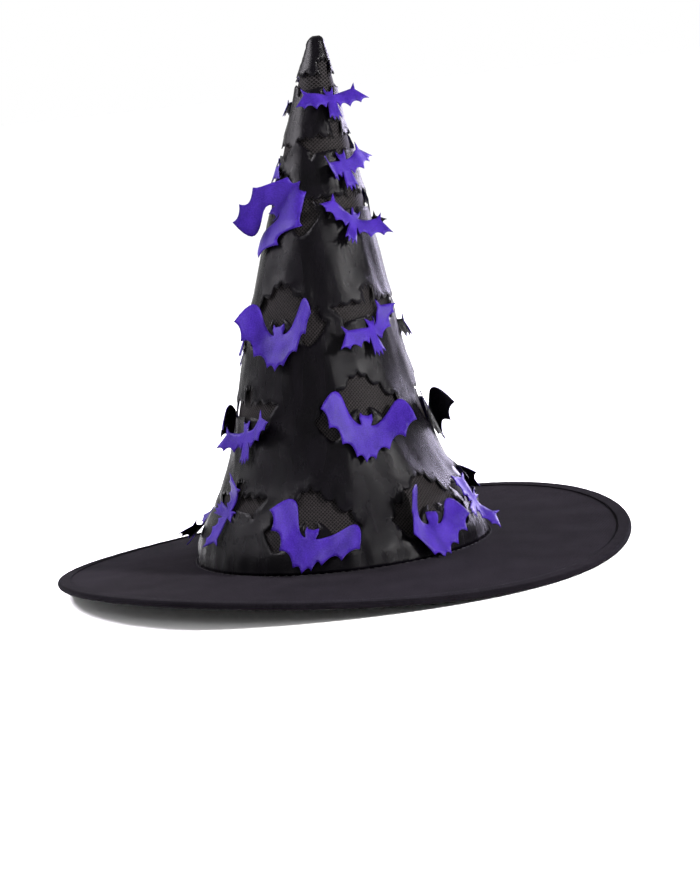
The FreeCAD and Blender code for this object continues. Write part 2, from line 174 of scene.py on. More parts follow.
# Soft folds of the satin: angle from the front towards +X and half width in degrees, lowest and
# highest point, and how far the cloth stands out.
FOLDS = [
    (84, 7, 14, 52, 5.0), (-92, 14, 2, 34, 2.2), (62, 8, 4, 30, 1.6),
    (7, 5, 30, 130, 1.2), (-24, 4, 60, 170, 0.9), (30, 4, 20, 80, 1.1), (-12, 3, 110, 250, 0.7),
    (16, 4, 150, 300, 0.7), (-42, 5, 20, 90, 1.2), (70, 6, 90, 180, 1.0), (-75, 6, 40, 150, 1.1),
    (120, 6, 10, 120, 1.3), (150, 5, 40, 210, 1.0), (190, 7, 10, 100, 1.4), (225, 6, 30, 180, 1.1),
    (250, 5, 120, 260, 0.8), (-82, 24, 85, 240, 2.0), (86, 20, 205, 270, 2.2),
]
SEAM_ANGLE = 148.0  # of the crown's back seam
MAP_MARGIN = 0.6  # how far, as an angle, the satin's map runs past a full turn while it is made
NET_NODES = ("net_low", "net_middle", "net_tip")
CLOTH_STEP = 2.5  # spacing of the points that the cloth is made of
FLAP_STEP = 1.7
NECK_SAG = 2.0  # how far a bat drops below its fold as the cloth of its neck gives
NECK_REACH = 5.0
WING_MIDDLE = -5.0  # height of the point that a wing sweeps about
ABOVE_BRIM = 1.6  # how far every point of a bat stays above the brim at rest
SWING_ROOM = 0.13  # gap under a bat for each mm below its fold, so that it can swing inwards
SWEEP_ROOT = 6.0  # how far out a wing has turned by most of its sweep
NET_STEP = 2.6
RING_STEPS = 288  # points round the brim

# How many stitches each row has, and where it runs.
CROWN_STITCHES = 118
CROWN_STITCHES_OUT = 1.8  # from the crown's foot
EDGE_STITCHES = 176
EDGE_STITCHES_IN = 7.6  # from the brim's edge, through its tape
BAND_STITCHES = 96
SEAM_STITCHES = 64
SEAM_START = 6
SEAM_STEP = 5.0
CLEAR_OF_HOLE = 3.5  # how far the seam's stitches stay from a cut-out
STITCH_LENGTH = 3.0
STITCH_WIDTH = 0.55

# ------------ the crown's shape

_heights = np.array([ring[0] for ring in CROWN])
_radii = np.array([ring[1] for ring in CROWN])
_leans = np.array([ring[2] for ring in CROWN])


def smooth_curve(knots, values, at):
    """Cubic through the values, with slopes from their neighbours."""
    slopes = np.gradient(values, knots)
    at = np.clip(at, knots[0], knots[-1])
    cell = np.clip(np.searchsorted(knots, at, side="right") - 1, 0, len(knots) - 2)
    width = knots[cell + 1] - knots[cell]
    share = (at - knots[cell]) / width
    low, high = values[cell], values[cell + 1]
    rise, fall = slopes[cell] * width, slopes[cell + 1] * width
    return ((2 * share**3 - 3 * share**2 + 1) * low + (share**3 - 2 * share**2 + share) * rise
            + (3 * share**2 - 2 * share**3) * high + (share**3 - share**2) * fall)


# Tables by height: radius, lean, distance along the slope from the foot, and that distance over the
# radius added up, which makes a flat map of the crown that keeps every angle.
_level = np.linspace(0, _heights[-1] - 0.1, 4000)
_over = np.clip((_level - (_heights[-1] - TIP_ROUND)) / (TIP_ROUND * 1.02), 0, 1)
_ring = smooth_curve(_heights, _radii, _level) * np.sqrt(1 - _over**2)
_lean = smooth_curve(_heights, _leans, _level)
_step = np.hypot(np.diff(_level), np.diff(_ring))
_slope = np.concatenate([[0], np.cumsum(_step)])
_map = np.concatenate([[0], np.cumsum(_step * 2 / (_ring[1:] + _ring[:-1]))])


def crown_radius(height):
    return np.interp(height, _level, _ring)


def crown_lean(height):
    return np.interp(height, _level, _lean)


def slope_at(height):
    return np.interp(height, _level, _slope)


def height_at(slope):
    return np.interp(slope, _slope, _level)


# The crown's cloth lies flat as a fan: its share of a full turn, and the seam where it opens.
FAN = 0.27


def on_flat_cut(turn, slope):
    """Where a place on the crown lies on the flat cloth that it was cut from."""
    around = (turn - math.radians(SEAM_ANGLE)) % TAU - math.pi
    reach = _slope[-1] + 2 - slope
    return (reach * math.sin(FAN * around), -reach * math.cos(FAN * around))


def wavy(turn, height, across, along, seed):
    """Smooth random value round the crown, from -1 to 1, that joins up all the way round."""
    flat = (math.sin(turn) * across, math.cos(turn) * across, height / along + seed)
    return noise.noise(Vector(flat))


def satin_lift(turn, height):
    """How far the satin stands out from the crown's CAD shape."""
    room = min(1.0, float(crown_radius(height)) / 60 + 0.25)
    lift = 0.5 + 0.8 * wavy(turn, height, 1.6, 90, 3)
    slant = turn + 0.004 * height
    lift += room * (1.1 * wavy(slant, height, 4, 60, 11) + 0.9 * wavy(turn, height, 3.2, 26, 57)
                    + 0.4 * wavy(slant, height, 12, 50, 23))
    for angle, spread, low, high, amount in FOLDS:
        away = (math.degrees(turn) - angle + 180) % 360 - 180
        middle, reach = (low + high) / 2, (high - low) / 2
        fade = max(0.0, 1 - ((height - middle) / reach) ** 2)
        if fade > 0 and abs(away) < 3 * spread:
            lift += amount * room * fade * math.exp(-((away / spread) ** 2))
    foot = math.exp(-height / 5)
    pucker = 0.5 + 0.5 * math.sin(turn * 46 + 3 * wavy(turn, 0, 4, 1, 31))
    lift += 1.1 * math.exp(-(((height - 9) / 7) ** 2)) * (0.6 + 0.4 * pucker)
    return max(-0.1, lift) * (1 - foot) + foot * (0.2 + 0.5 * pucker)


def crown_point(turn, height, out):
    """A point at an angle and height, a distance outside the crown's CAD shape."""
    radius = float(crown_radius(height)) + out
    return Vector((float(crown_lean(height)) + radius * math.sin(turn),
                   -radius * math.cos(turn), height + BRIM_TOP))


# ------------ mesh helpers


def mesh(name, points, faces, uvs=None):
    """A new object from points in millimetres. uvs gives each face corner's place on the flat
    cloth."""
    data = bpy.data.meshes.new(name)
    data.from_pydata([Vector(point) * MM for point in points], [], faces)
    if uvs is not None:
        layer = data.uv_layers.new(name="Weave")
        layer.data.foreach_set("uv", (np.array(uvs, float) * MM).ravel())
    data.polygons.foreach_set("use_smooth", [True] * len(data.polygons))
    data.validate()
    data.update()
    piece = bpy.data.objects.new(name, data)
    bpy.context.scene.collection.objects.link(piece)
    return piece


def faces_between(bands, around):
    """Faces of bands between rings of points, each ring all the way round."""
    return [(band * around + step, band * around + (step + 1) % around,
             (band + 1) * around + (step + 1) % around, (band + 1) * around + step)
            for band in range(bands) for step in range(around)]


def at_corners(faces, places):
    """Each face corner's place, from each point's place."""
    return [places[spot] for face in faces for spot in face]


def fan_corners(faces, spots):
    """Each face corner's place on the crown's flat cut. spots has each point's angle and slope."""
    places = []
    for face in faces:
        flat = [on_flat_cut(*spots[spot]) for spot in face]
        if max(x for x, _ in flat) - min(x for x, _ in flat) > 20:
            flat = [(-abs(x), y) for x, y in flat]
        places += flat
    return places


def thicken(piece, thickness, offset=0.0):
    """Gives a sheet its thickness; its back takes the second material and its rim the first."""
    solid = piece.modifiers.new("Cloth", "SOLIDIFY")
    solid.thickness = thickness * MM
    solid.offset = offset
    solid.material_offset = 1
    solid.use_even_offset = False
    view = bpy.context.evaluated_depsgraph_get()
    made = bpy.data.meshes.new_from_object(piece.evaluated_get(view))
    piece.modifiers.clear()
    old, piece.data = piece.data, made
    bpy.data.meshes.remove(old)


def dress(piece, *materials):
    """Puts the materials on a piece, whatever slots its mesh came with."""
    piece.data.materials.clear()
    for material in materials:
        piece.data.materials.append(material)


def stands_for(piece, body, slot, *nodes):
    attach(piece, body)
    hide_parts(*nodes)


# ------------ the bats


def rounded(start, middle, end, count):
    """Points after start on the curve from start through middle to end."""
    for number in range(1, count + 1):
        share = number / count
        first = (start[0] + share * (middle[0] - start[0]), start[1] + share * (middle[1] - start[1]))
        last = (middle[0] + share * (end[0] - middle[0]), middle[1] + share * (end[1] - middle[1]))
        yield (first[0] + share * (last[0] - first[0]), first[1] + share * (last[1] - first[1]))


def bat_outline(design, size, step):
    """The whole outline of a bat as closely spaced points, counter-clockwise from its left ear."""
    half = DESIGNS[design]
    line, middle = [half[0][:2]], None
    for point in half[1:]:
        if len(point) == 3:
            # The curve's pull point, so that it passes through the middle that the design gives.
            middle = point
            continue
        start = line[-1]
        if middle:
            pull = (2 * middle[0] - (start[0] + point[0]) / 2,
                    2 * middle[1] - (start[1] + point[1]) / 2)
            line += list(rounded(start, pull, point, 7))
            middle = None
        else:
            count = max(1, round(math.dist(start, point) * size / step))
            for number in range(1, count + 1):
                share = number / count
                line.append((start[0] + share * (point[0] - start[0]),
                             start[1] + share * (point[1] - start[1])))
    right = [(x * size, y * size) for x, y in line]
    return right[::-1] + [(-x, y) for x, y in right[:-1]]


def inside(points, outline):
    """Which points lie inside a closed outline."""
    x, y = points[:, 0, None], points[:, 1, None]
    (x0, y0), (x1, y1) = outline.T, np.roll(outline, -1, axis=0).T
    run = np.where(y1 == y0, 1, y1 - y0)
    crosses = ((y0 > y) != (y1 > y)) & (x < (x1 - x0) * (y - y0) / run + x0)
    return crosses.sum(1) % 2 == 1


def distance(points, outline):
    """How far each point is from a closed outline."""
    line = np.roll(outline, -1, axis=0) - outline
    offset = points[:, None, :] - outline
    share = (offset * line).sum(2) / np.maximum((line * line).sum(1), 1e-12)
    gap = offset - np.clip(share, 0, 1)[:, :, None] * line
    return np.sqrt((gap * gap).sum(2).min(1))


def fill_flat(outline, step):
    """Triangles over the inside of a flat outline: points and faces."""
    outline = np.array(outline)
    low, high = outline.min(0), outline.max(0)
    rows = np.arange(low[1], high[1], step * 0.87)
    grid = np.array([(x + (step / 2 if number % 2 else 0), y) for number, y in enumerate(rows)
                     for x in np.arange(low[0], high[0], step)])
    grid = grid[inside(grid, outline)]
    grid = grid[distance(grid, outline) > step * 0.55]
    points = [Vector(point) for point in np.vstack([outline, grid])]
    ring = [(number, (number + 1) % len(outline)) for number in range(len(outline))]
    spots, _, faces, *_ = delaunay_2d_cdt(points, ring, [], 0, 1e-4)
    spots = np.array([tuple(spot) for spot in spots])
    centres = np.array([spots[list(face)].mean(0) for face in faces])
    return spots, [list(face) for face, kept in zip(faces, inside(centres, outline)) if kept]


def bend_along(distance_out, reach, root, tip):
    """Where a strip that bends as it goes out ends up: across and away, for degrees of bend."""
    across, away, steps = 0.0, 0.0, 12
    for number in range(steps):
        share = (number + 0.5) / steps * distance_out / reach
        angle = math.radians(root * min(1.0, 2 * share) + tip * share**2)
        across += math.cos(angle) * distance_out / steps
        away += math.sin(angle) * distance_out / steps
    return across, away


def hang_point(flat, half_span, drop, hang):
    """Where a point of the flat bat goes in the fold's own frame: along, up, outwards."""
    x, y = flat
    side = 0 if x < 0 else 1
    tilt = math.radians(hang["tilt"])
    wing = max(0.0, abs(x) - BODY_HALF)
    root, tip = hang["left" if side == 0 else "right"]
    across, away = bend_along(wing, half_span - BODY_HALF, root, tip)
    sweep = math.radians(hang["sweep"][side]) * (1 - math.exp(-((wing / SWEEP_ROOT) ** 2)))
    chord = y - WING_MIDDLE
    y = WING_MIDDLE + across * math.sin(sweep) + chord * math.cos(sweep)
    across = across * math.cos(sweep) - chord * math.sin(sweep)
    x = math.copysign(min(abs(x), BODY_HALF) + across, x)
    x, y = x * math.cos(tilt) - y * math.sin(tilt), x * math.sin(tilt) + y * math.cos(tilt)
    down, out, steps = 0.0, 0.0, 10
    for number in range(steps):
        share = (number + 0.5) / steps * abs(y) / drop
        turn = hang["droop"] * share if y < 0 else -0.6 * hang["lift"] * share
        angle = math.radians(hang["lift"] + turn)
        down += math.cos(angle) * y / steps
        out -= math.sin(angle) * y / steps
    lean = math.radians(hang["lift"] + (hang["droop"] * abs(y) / drop if y < 0 else 0))
    up, out = down + away * math.sin(lean), out + away * math.cos(lean)
    yaw = math.radians(hang.get("yaw", 0))
    x, out = x * math.cos(yaw) + out * math.sin(yaw), out * math.cos(yaw) - x * math.sin(yaw)
    free = 1 - math.exp(-((flat[0] ** 2 + flat[1] ** 2) / NECK_REACH**2))
    return x + free * hang.get("aside", 0), up - free * hang.get("sag", NECK_SAG), out


def clear_of_crown(point, gap):
    """Moves a point out until it is a gap outside the satin and above the brim."""
    height = point.z - BRIM_TOP
    aside = point.x - float(crown_lean(height))
    turn = math.atan2(aside, -point.y)
    radius = math.hypot(aside, point.y)
    least = float(crown_radius(height)) + satin_lift(turn, height) + gap
    spare = radius - least
    radius = least + (spare + math.sqrt(spare * spare + 0.16)) / 2
    low = brim_rise(math.hypot(point.x, point.y), math.atan2(point.y, point.x)) + BRIM_TOP
    return Vector((float(crown_lean(height)) + radius * math.sin(turn),
                   -radius * math.cos(turn), max(point.z, low + ABOVE_BRIM)))


def fold_frame(joint):
    """Angle and height of a flap's fold, and the frame there: along, up the slope, outwards."""
    along = -Vector(joint["axis"])
    turn = math.atan2(along.y, along.x)
    place = Vector(joint["pos_m"]) / MM
    outwards = Vector((math.sin(turn), -math.cos(turn), 0))
    height = place.z - BRIM_TOP
    taper = float(crown_radius(height + 2) - crown_radius(height - 2)) / 4
    lean = float(crown_lean(height + 2) - crown_lean(height - 2)) / 4
    up = (outwards * taper + Vector((lean, 0, 1))).normalized()
    normal = along.cross(up).normalized()
    return turn, height - STANDOFF * normal.z, place, along, up, normal


def design_of(joint):
    """A flap's name, its row and number in the row, and its design and size."""
    name = joint["child"].removesuffix("_flap")
    row, number = (int(word.removeprefix("row")) for word in name.split("_")[1:])
    return name, row, number, *FLAPS[row][number - 1]


def any_hang(name):
    """How a flap hangs that has no entry of its own."""
    chance = random.Random(name)
    return dict(lift=chance.uniform(12, 22), droop=chance.uniform(-9, 2),
                left=(chance.uniform(16, 28), chance.uniform(0, 16)),
                right=(chance.uniform(16, 28), chance.uniform(0, 16)),
                tilt=chance.uniform(-10, 10), sweep=(chance.uniform(-2, 8), chance.uniform(-2, 8)))


def make_flap(joint, front, back):
    """One hanging bat of cloth, purple outside and black behind."""
    name, row, number, design, size = design_of(joint)
    outline = bat_outline(design, size, FLAP_STEP)
    flat, faces = fill_flat(outline, FLAP_STEP)
    half_span, drop = flat[:, 0].max(), -flat[:, 1].min()
    hang = HANG.get(name) or any_hang(name)
    _, _, place, along, up, normal = fold_frame(joint)
    points = []
    for x, y in flat:
        across, rise, out = hang_point((x, y), half_span, drop, hang)
        ripple = 0.5 * noise.noise(Vector((x / 9, y / 9, row * 7 + number * 3)))
        point = place + along * across + up * rise + normal * (out + ripple)
        near_fold = math.exp(-((y / 1.6) ** 2) - (x / 4.5) ** 2)
        point -= normal * near_fold * (STANDOFF - 0.9)
        gap = 0.5 + 0.5 * FLAP_THICK - 0.5 * near_fold + SWING_ROOM * max(0.0, -rise)
        points.append(clear_of_crown(point, gap))
    piece = mesh(f"{name}_cloth", points, faces, uvs=at_corners(faces, flat))
    dress(piece, front, back)
    thicken(piece, FLAP_THICK)
    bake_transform(piece)
    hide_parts(name)


# ------------ the crown


def cut_outs():
    """Every hole in the satin, as points of angle and slope distance, mirrored over its fold."""
    for joint in frame["joints"]:
        *_, design, size = design_of(joint)
        turn, height = fold_frame(joint)[:2]
        base = float(slope_at(height))
        outline = []
        for x, y in bat_outline(design, size, CLOTH_STEP * 0.6):
            slope = base + 0.2 - y
            outline.append((turn + x / float(crown_radius(height_at(slope))), slope))
        yield np.array(outline)


def on_map(spots):
    """Angle and slope distance to the flat map that keeps angles."""
    return np.column_stack([spots[:, 0], np.interp(spots[:, 1], _slope, _map)])


def satin_points(holes):
    """Points of the cloth on the map, with a margin past the full turn, clear of the holes."""
    spots, slope, number = [], 0.0, 0
    while slope < _slope[-1]:
        radius = float(crown_radius(height_at(slope)))
        count = max(7, round(TAU * radius / CLOTH_STEP))
        for step in range(-count, 2 * count):
            turn = (step + 0.5 * (number % 2)) * TAU / count - math.pi
            jitter = 0.02 * math.sin(12.9 * (step % count) + 78.2 * number)
            if -math.pi - MAP_MARGIN < turn < math.pi + MAP_MARGIN:
                spots.append((turn + jitter * CLOTH_STEP / radius, slope))
        slope += max(0.35, min(CLOTH_STEP, radius * 0.6)) * 0.87
        number += 1
    spots = np.array(spots)
    flat = on_map(spots)
    free = np.ones(len(spots), bool)
    for hole in holes:
        near = free & (np.abs(spots[:, 0] - hole[:, 0].mean()) < np.ptp(hole[:, 0]) / 2 + 0.2)
        near &= (spots[:, 1] > hole[:, 1].min() - 3) & (spots[:, 1] < hole[:, 1].max() + 3)
        where = np.flatnonzero(near)
        if len(where):
            ring = on_map(hole)
            scale = crown_radius(height_at(spots[where, 1]))
            far = distance(flat[where], ring) * scale > CLOTH_STEP * 0.5
            free[where] = far & ~inside(flat[where], ring)
    return flat[free]


def make_satin(black, purple):
    """The crown's outer cloth, with a bat cut out above every fold."""
    shapes = list(cut_outs())
    holes = [shape + (shift, 0) for shape in shapes for shift in (-TAU, 0, TAU)
             if -math.pi - MAP_MARGIN < (shape[:, 0] + shift).max()
             and (shape[:, 0] + shift).min() < math.pi + MAP_MARGIN]
    grid = satin_points(holes)
    points, edges = [tuple(spot) for spot in grid], []
    for hole in holes:
        first, count = len(points), len(hole)
        points += [tuple(spot) for spot in on_map(hole)]
        edges += [(first + number, first + (number + 1) % count) for number in range(count)]
    spots, _, faces, *_ = delaunay_2d_cdt([Vector(point) for point in points], edges, [], 0, 1e-7)
    spots = np.array([tuple(spot) for spot in spots])
    faces = np.array([tuple(face) for face in faces])
    centres = spots[faces].mean(1)
    kept = (centres[:, 0] >= -math.pi) & (centres[:, 0] < math.pi)
    for ring in map(on_map, holes):
        near = np.flatnonzero((centres > ring.min(0)).all(1) & (centres < ring.max(0)).all(1))
        kept[near[inside(centres[near], ring)]] = False
    faces = faces[kept]
    number_of, corners, triangles = {}, [], []
    for face in faces:
        triangle = []
        for spot in face:
            turn, level = spots[spot]
            key = (round((turn % TAU) * 2e4) % round(TAU * 2e4), round(level * 2e4))
            if key not in number_of:
                number_of[key] = len(corners)
                corners.append((turn % TAU, float(np.interp(level, _map, _slope))))
            triangle.append(number_of[key])
        if len(set(triangle)) == 3:
            triangles.append(triangle)
    corners = np.array(corners)
    lip = lift_of_edges(corners, shapes)
    out = []
    for (turn, slope), raised in zip(corners, lip):
        height = float(height_at(slope))
        out.append(crown_point(turn, height, satin_lift(turn, height) + raised))
    piece = mesh("crown_satin", out, triangles, uvs=fan_corners(triangles, corners))
    dress(piece, black, purple)
    thicken(piece, COVER_THICK, -1.0)
    stands_for(piece, "hat", "black_satin", "satin_cover")


def lift_of_edges(corners, shapes):
    """How far the cloth curls off the net beside each hole."""
    lift = np.zeros(len(corners))
    for shape in shapes:
        turn = (corners[:, 0] - shape[:, 0].mean() + math.pi) % TAU - math.pi
        middle = shape[:, 0].mean()
        near = np.flatnonzero((np.abs(turn) < np.ptp(shape[:, 0]) / 2 + 0.25)
                              & (corners[:, 1] > shape[:, 1].min() - 8)
                              & (corners[:, 1] < shape[:, 1].max() + 8))
        spots = np.column_stack([turn[near] + middle, corners[near, 1]])
        radius = crown_radius(height_at(corners[near, 1]))
        away = distance(on_map(spots), on_map(shape)) * radius
        above = np.clip((spots[:, 1] - shape[:, 1].min()) / 10, 0, 1)
        lift[near] = np.maximum(lift[near], (0.2 + 0.5 * above) * np.exp(-((away / 4.0) ** 2)))
    return lift


def make_net(material):
    """The stiff net cone inside the satin."""
    points, spots = [], []
    rows = np.arange(0, _slope[-1] - 1.5, NET_STEP)
    around = 180
    for slope in rows:
        height = float(height_at(slope))
        for step in range(around):
            turn = step * TAU / around
            points.append(crown_point(turn, height, -NET_INSET))
            spots.append((turn, slope))
    faces = faces_between(len(rows) - 1, around)
    tip = len(points)
    height = float(height_at(rows[-1]))
    points.append(crown_point(0, height + 0.6, -float(crown_radius(height + 0.6))))
    spots.append((0, rows[-1] + 1))
    last = (len(rows) - 1) * around
    faces += [(last + step, last + (step + 1) % around, tip) for step in range(around)]
    piece = mesh("crown_net", points, faces, uvs=fan_corners(faces, spots))
    dress(piece, material, material)
    thicken(piece, NET_THICK, -1.0)
    stands_for(piece, "hat", "stiff_net", *NET_NODES)


# ------------ the brim


def brim_rise(radius, angle):
    """How far the brim stands above level. angle runs from +X towards +Y."""
    share = max(0.0, (radius - CROWN[0][1]) / (BRIM_RADIUS - CROWN[0][1]))
    warp = 0.5 * math.cos(2 * angle) + 7.2 * math.sin(2 * angle) + 0.8 * math.sin(3 * angle)
    return share**1.3 * warp - 2.1 * share


def ripple(radius, angle, amount):
    """Small unevenness of cloth laid over felt."""
    place = Vector((radius * math.cos(angle) / 26, radius * math.sin(angle) / 26, 0))
    return amount * noise.noise(place)


def turned(name, section, closed, steps=RING_STEPS, start=0.0, end=TAU, shift=None):
    """A band turned round Z from a section of (radius, height) points, following the brim."""
    whole = abs(end - start - TAU) < 1e-6
    rows = steps if whole else steps + 1
    points, weave, along = [], [], [0.0]
    for before, after in zip(section, section[1:]):
        along.append(along[-1] + math.dist(before, after))
    for row in range(rows):
        angle = start + (end - start) * row / steps
        for (radius, height), reach in zip(section, along):
            push = shift(radius, height, angle) if shift else 0
            points.append((radius * math.cos(angle), radius * math.sin(angle),
                           height + push + brim_rise(radius, angle)))
            weave.append((angle * BRIM_RADIUS, reach))
    faces, size = [], len(section)
    for row in range(steps):
        for spot in range(size if closed else size - 1):
            after, beside = (spot + 1) % size, (row + 1) % rows
            faces.append((row * size + spot, beside * size + spot,
                          beside * size + after, row * size + after))
    if not whole:
        faces += [tuple(range(size)), tuple(range(steps * size, steps * size + size))[::-1]]
    return mesh(name, points, faces, uvs=at_corners(faces, weave))


def layer_section(inner, outer, low, high, steps=14):
    """Closed section of a flat ring."""
    radii = [inner + (outer - inner) * step / steps for step in range(steps + 1)]
    return [(radius, low) for radius in radii] + [(radius, high) for radius in reversed(radii)]


def make_brim(cloth, felt, tape, steel, crimp):
    """The brim's layers, its taped edge and the wire inside it."""
    layers = [("brim_cloth_under", BRIM_BASE, FELT_BASE, cloth, "brim_cloth", "brim_under_cover"),
              ("brim_felt", FELT_BASE, FELT_TOP, felt, "felt", "brim_stiffener"),
              ("brim_cloth_top", FELT_TOP, BRIM_TOP, cloth, "brim_cloth", "brim_top_cover")]
    for name, low, high, material, slot, node in layers:
        top = node == "brim_top_cover"

        def shift(radius, height, angle, top=top, high=high, low=low):
            outer_face = height == high if top else height == low
            if node == "brim_stiffener" or not outer_face:
                return 0
            calm = min(1.0, (CUT_EDGE - TAPE_WIDTH - radius) / 8)
            return ripple(radius, angle, 0.45) * max(0.0, calm) * (1 if top else -1)

        piece = turned(name, layer_section(HEAD_RADIUS, CUT_EDGE, low, high), True, shift=shift)
        dress(piece, material)
        stands_for(piece, "hat", slot, node)
    edge = []
    inner, outer = BRIM_RADIUS - TAPE_WIDTH, BRIM_RADIUS - TAPE_ROUND
    middle = half = TAPE_TOP / 2
    for step in range(7):
        edge.append((inner + (outer - inner) * step / 6, TAPE_TOP - 0.05 * (step == 0)))
    for step in range(1, 8):
        bend = math.pi * step / 8
        edge.append((outer + TAPE_ROUND * math.sin(bend), middle + half * math.cos(bend)))
    edge += [(radius, TAPE_TOP - height) for radius, height in reversed(edge[:7])]
    piece = turned("brim_edge_tape", edge, False, steps=480, shift=tape_pucker)
    dress(piece, tape, tape)
    thicken(piece, TAPE_THICK, -1.0)
    stands_for(piece, "hat", "binding_tape", "edge_binding")
    level = (BRIM_BASE + BRIM_TOP) / 2
    bar = [(WIRE_RING + WIRE_RADIUS * math.cos(TAU * step / 10),
            level + WIRE_RADIUS * math.sin(TAU * step / 10)) for step in range(10)]
    wire = turned("brim_wire", bar, True, start=0.25 * TAU, end=1.25 * TAU - 0.009, steps=359)
    dress(wire, steel)
    stands_for(wire, "hat", "spring_wire", "edge_wire")
    tube = [(WIRE_RING + SLEEVE_RADIUS * math.cos(TAU * step / 14),
             level + SLEEVE_RADIUS * math.sin(TAU * step / 14)) for step in range(14)]
    half_angle = SLEEVE_LENGTH / 2 / WIRE_RING
    sleeve = turned("brim_wire_sleeve", tube, True, steps=8,
                    start=0.25 * TAU - half_angle, end=0.25 * TAU + half_angle)
    dress(sleeve, crimp)
    stands_for(sleeve, "hat", "crimp", "wire_sleeve")


def tape_pucker(radius, height, angle):
    """The tape draws in a little at each stitch."""
    near = math.exp(-(((radius - (BRIM_RADIUS - EDGE_STITCHES_IN)) / 1.0) ** 2))
    side = 1 if height > TAPE_TOP / 2 else -1
    return -side * near * 0.16 * (1 + 0.5 * math.sin(angle * EDGE_STITCHES)) + 0.12 * noise.noise(
        Vector((math.cos(angle) * 40, math.sin(angle) * 40, radius / 9)))


def make_sweatband(material):
    """Ribbed ribbon round the inside of the head opening."""
    points, weave = [], []
    around, rows = 240, 8
    for row in range(rows + 1):
        height = 0.3 + (BAND_TOP - 0.3) * row / rows
        for step in range(around):
            turn = step * TAU / around
            soft = 0.25 * wavy(turn, height, 5, 20, 41) - 0.25
            points.append(crown_point(turn, height, -BAND_INSET + soft))
            weave.append((turn * 90, height))
    faces = faces_between(rows, around)
    piece = mesh("head_ribbon", points, faces, uvs=at_corners(faces, weave))
    dress(piece, material, material)
    thicken(piece, BAND_THICK, -1.0)
    stands_for(piece, "hat", "ribbon", "sweatband")


# ------------ stitches


def stitch_row(name, places, node, material):
    """Short threads, thicker in the middle, lying on the cloth. places are points with the
    directions along the stitch and out of the cloth."""
    points, faces = [], []
    ends = [(-0.5, 0.45), (-0.3, 0.95), (0.0, 1.0), (0.3, 0.95), (0.5, 0.45)]
    sides = 6
    for place, along, out in places:
        across = along.cross(out).normalized()
        first = len(points)
        for share, thick in ends:
            for side in range(sides):
                bend = TAU * side / sides
                lift = math.sin(bend) * 0.5 + 0.35 * thick - 0.25
                points.append(place + along * share * STITCH_LENGTH
                              + across * (math.cos(bend) * STITCH_WIDTH / 2 * thick)
                              + out * lift * STITCH_WIDTH * thick)
        for ring in range(len(ends) - 1):
            for side in range(sides):
                after = (side + 1) % sides
                faces.append((first + ring * sides + side, first + ring * sides + after,
                              first + (ring + 1) * sides + after, first + (ring + 1) * sides + side))
        faces.append(tuple(first + side for side in range(sides))[::-1])
        last = first + (len(ends) - 1) * sides
        faces.append(tuple(last + side for side in range(sides)))
    piece = mesh(name, points, faces)
    dress(piece, material)
    stands_for(piece, "hat", "thread", node)


def brim_stitches(count, radius, height):
    for number in range(count):
        angle = TAU * number / count
        place = Vector((radius * math.cos(angle), radius * math.sin(angle),
                        height + brim_rise(radius, angle)))
        yield place, Vector((-math.sin(angle), math.cos(angle), 0)), Vector((0, 0, 1))


def seam_stitches():
    """Up the back of the crown, where the cloth isn't cut away."""
    turn = math.radians(SEAM_ANGLE)
    shapes = list(cut_outs())
    for number in range(SEAM_STITCHES):
        height = SEAM_START + number * SEAM_STEP
        spot = np.array([[turn, float(slope_at(height))]])
        clear = True
        for shape in shapes:
            for shift in (-TAU, 0, TAU):
                ring = on_map(shape + (shift, 0))
                gap = distance(on_map(spot), ring)[0] * float(crown_radius(height))
                clear &= gap > CLEAR_OF_HOLE and not inside(on_map(spot), ring)[0]
        if clear:
            place = crown_point(turn, height, satin_lift(turn, height) + 0.1)
            above = crown_point(turn, height + 1, satin_lift(turn, height + 1) + 0.1)
            yield place, (above - place).normalized(), Vector((math.sin(turn), -math.cos(turn), 0.2))


def band_stitches(count):
    for number in range(count):
        turn = TAU * number / count
        place = crown_point(turn, 3.0, -BAND_INSET - BAND_THICK - 0.45)
        along = Vector((math.cos(turn), math.sin(turn), 0))
        yield place, along, Vector((-math.sin(turn), math.cos(turn), 0))


# ------------ materials


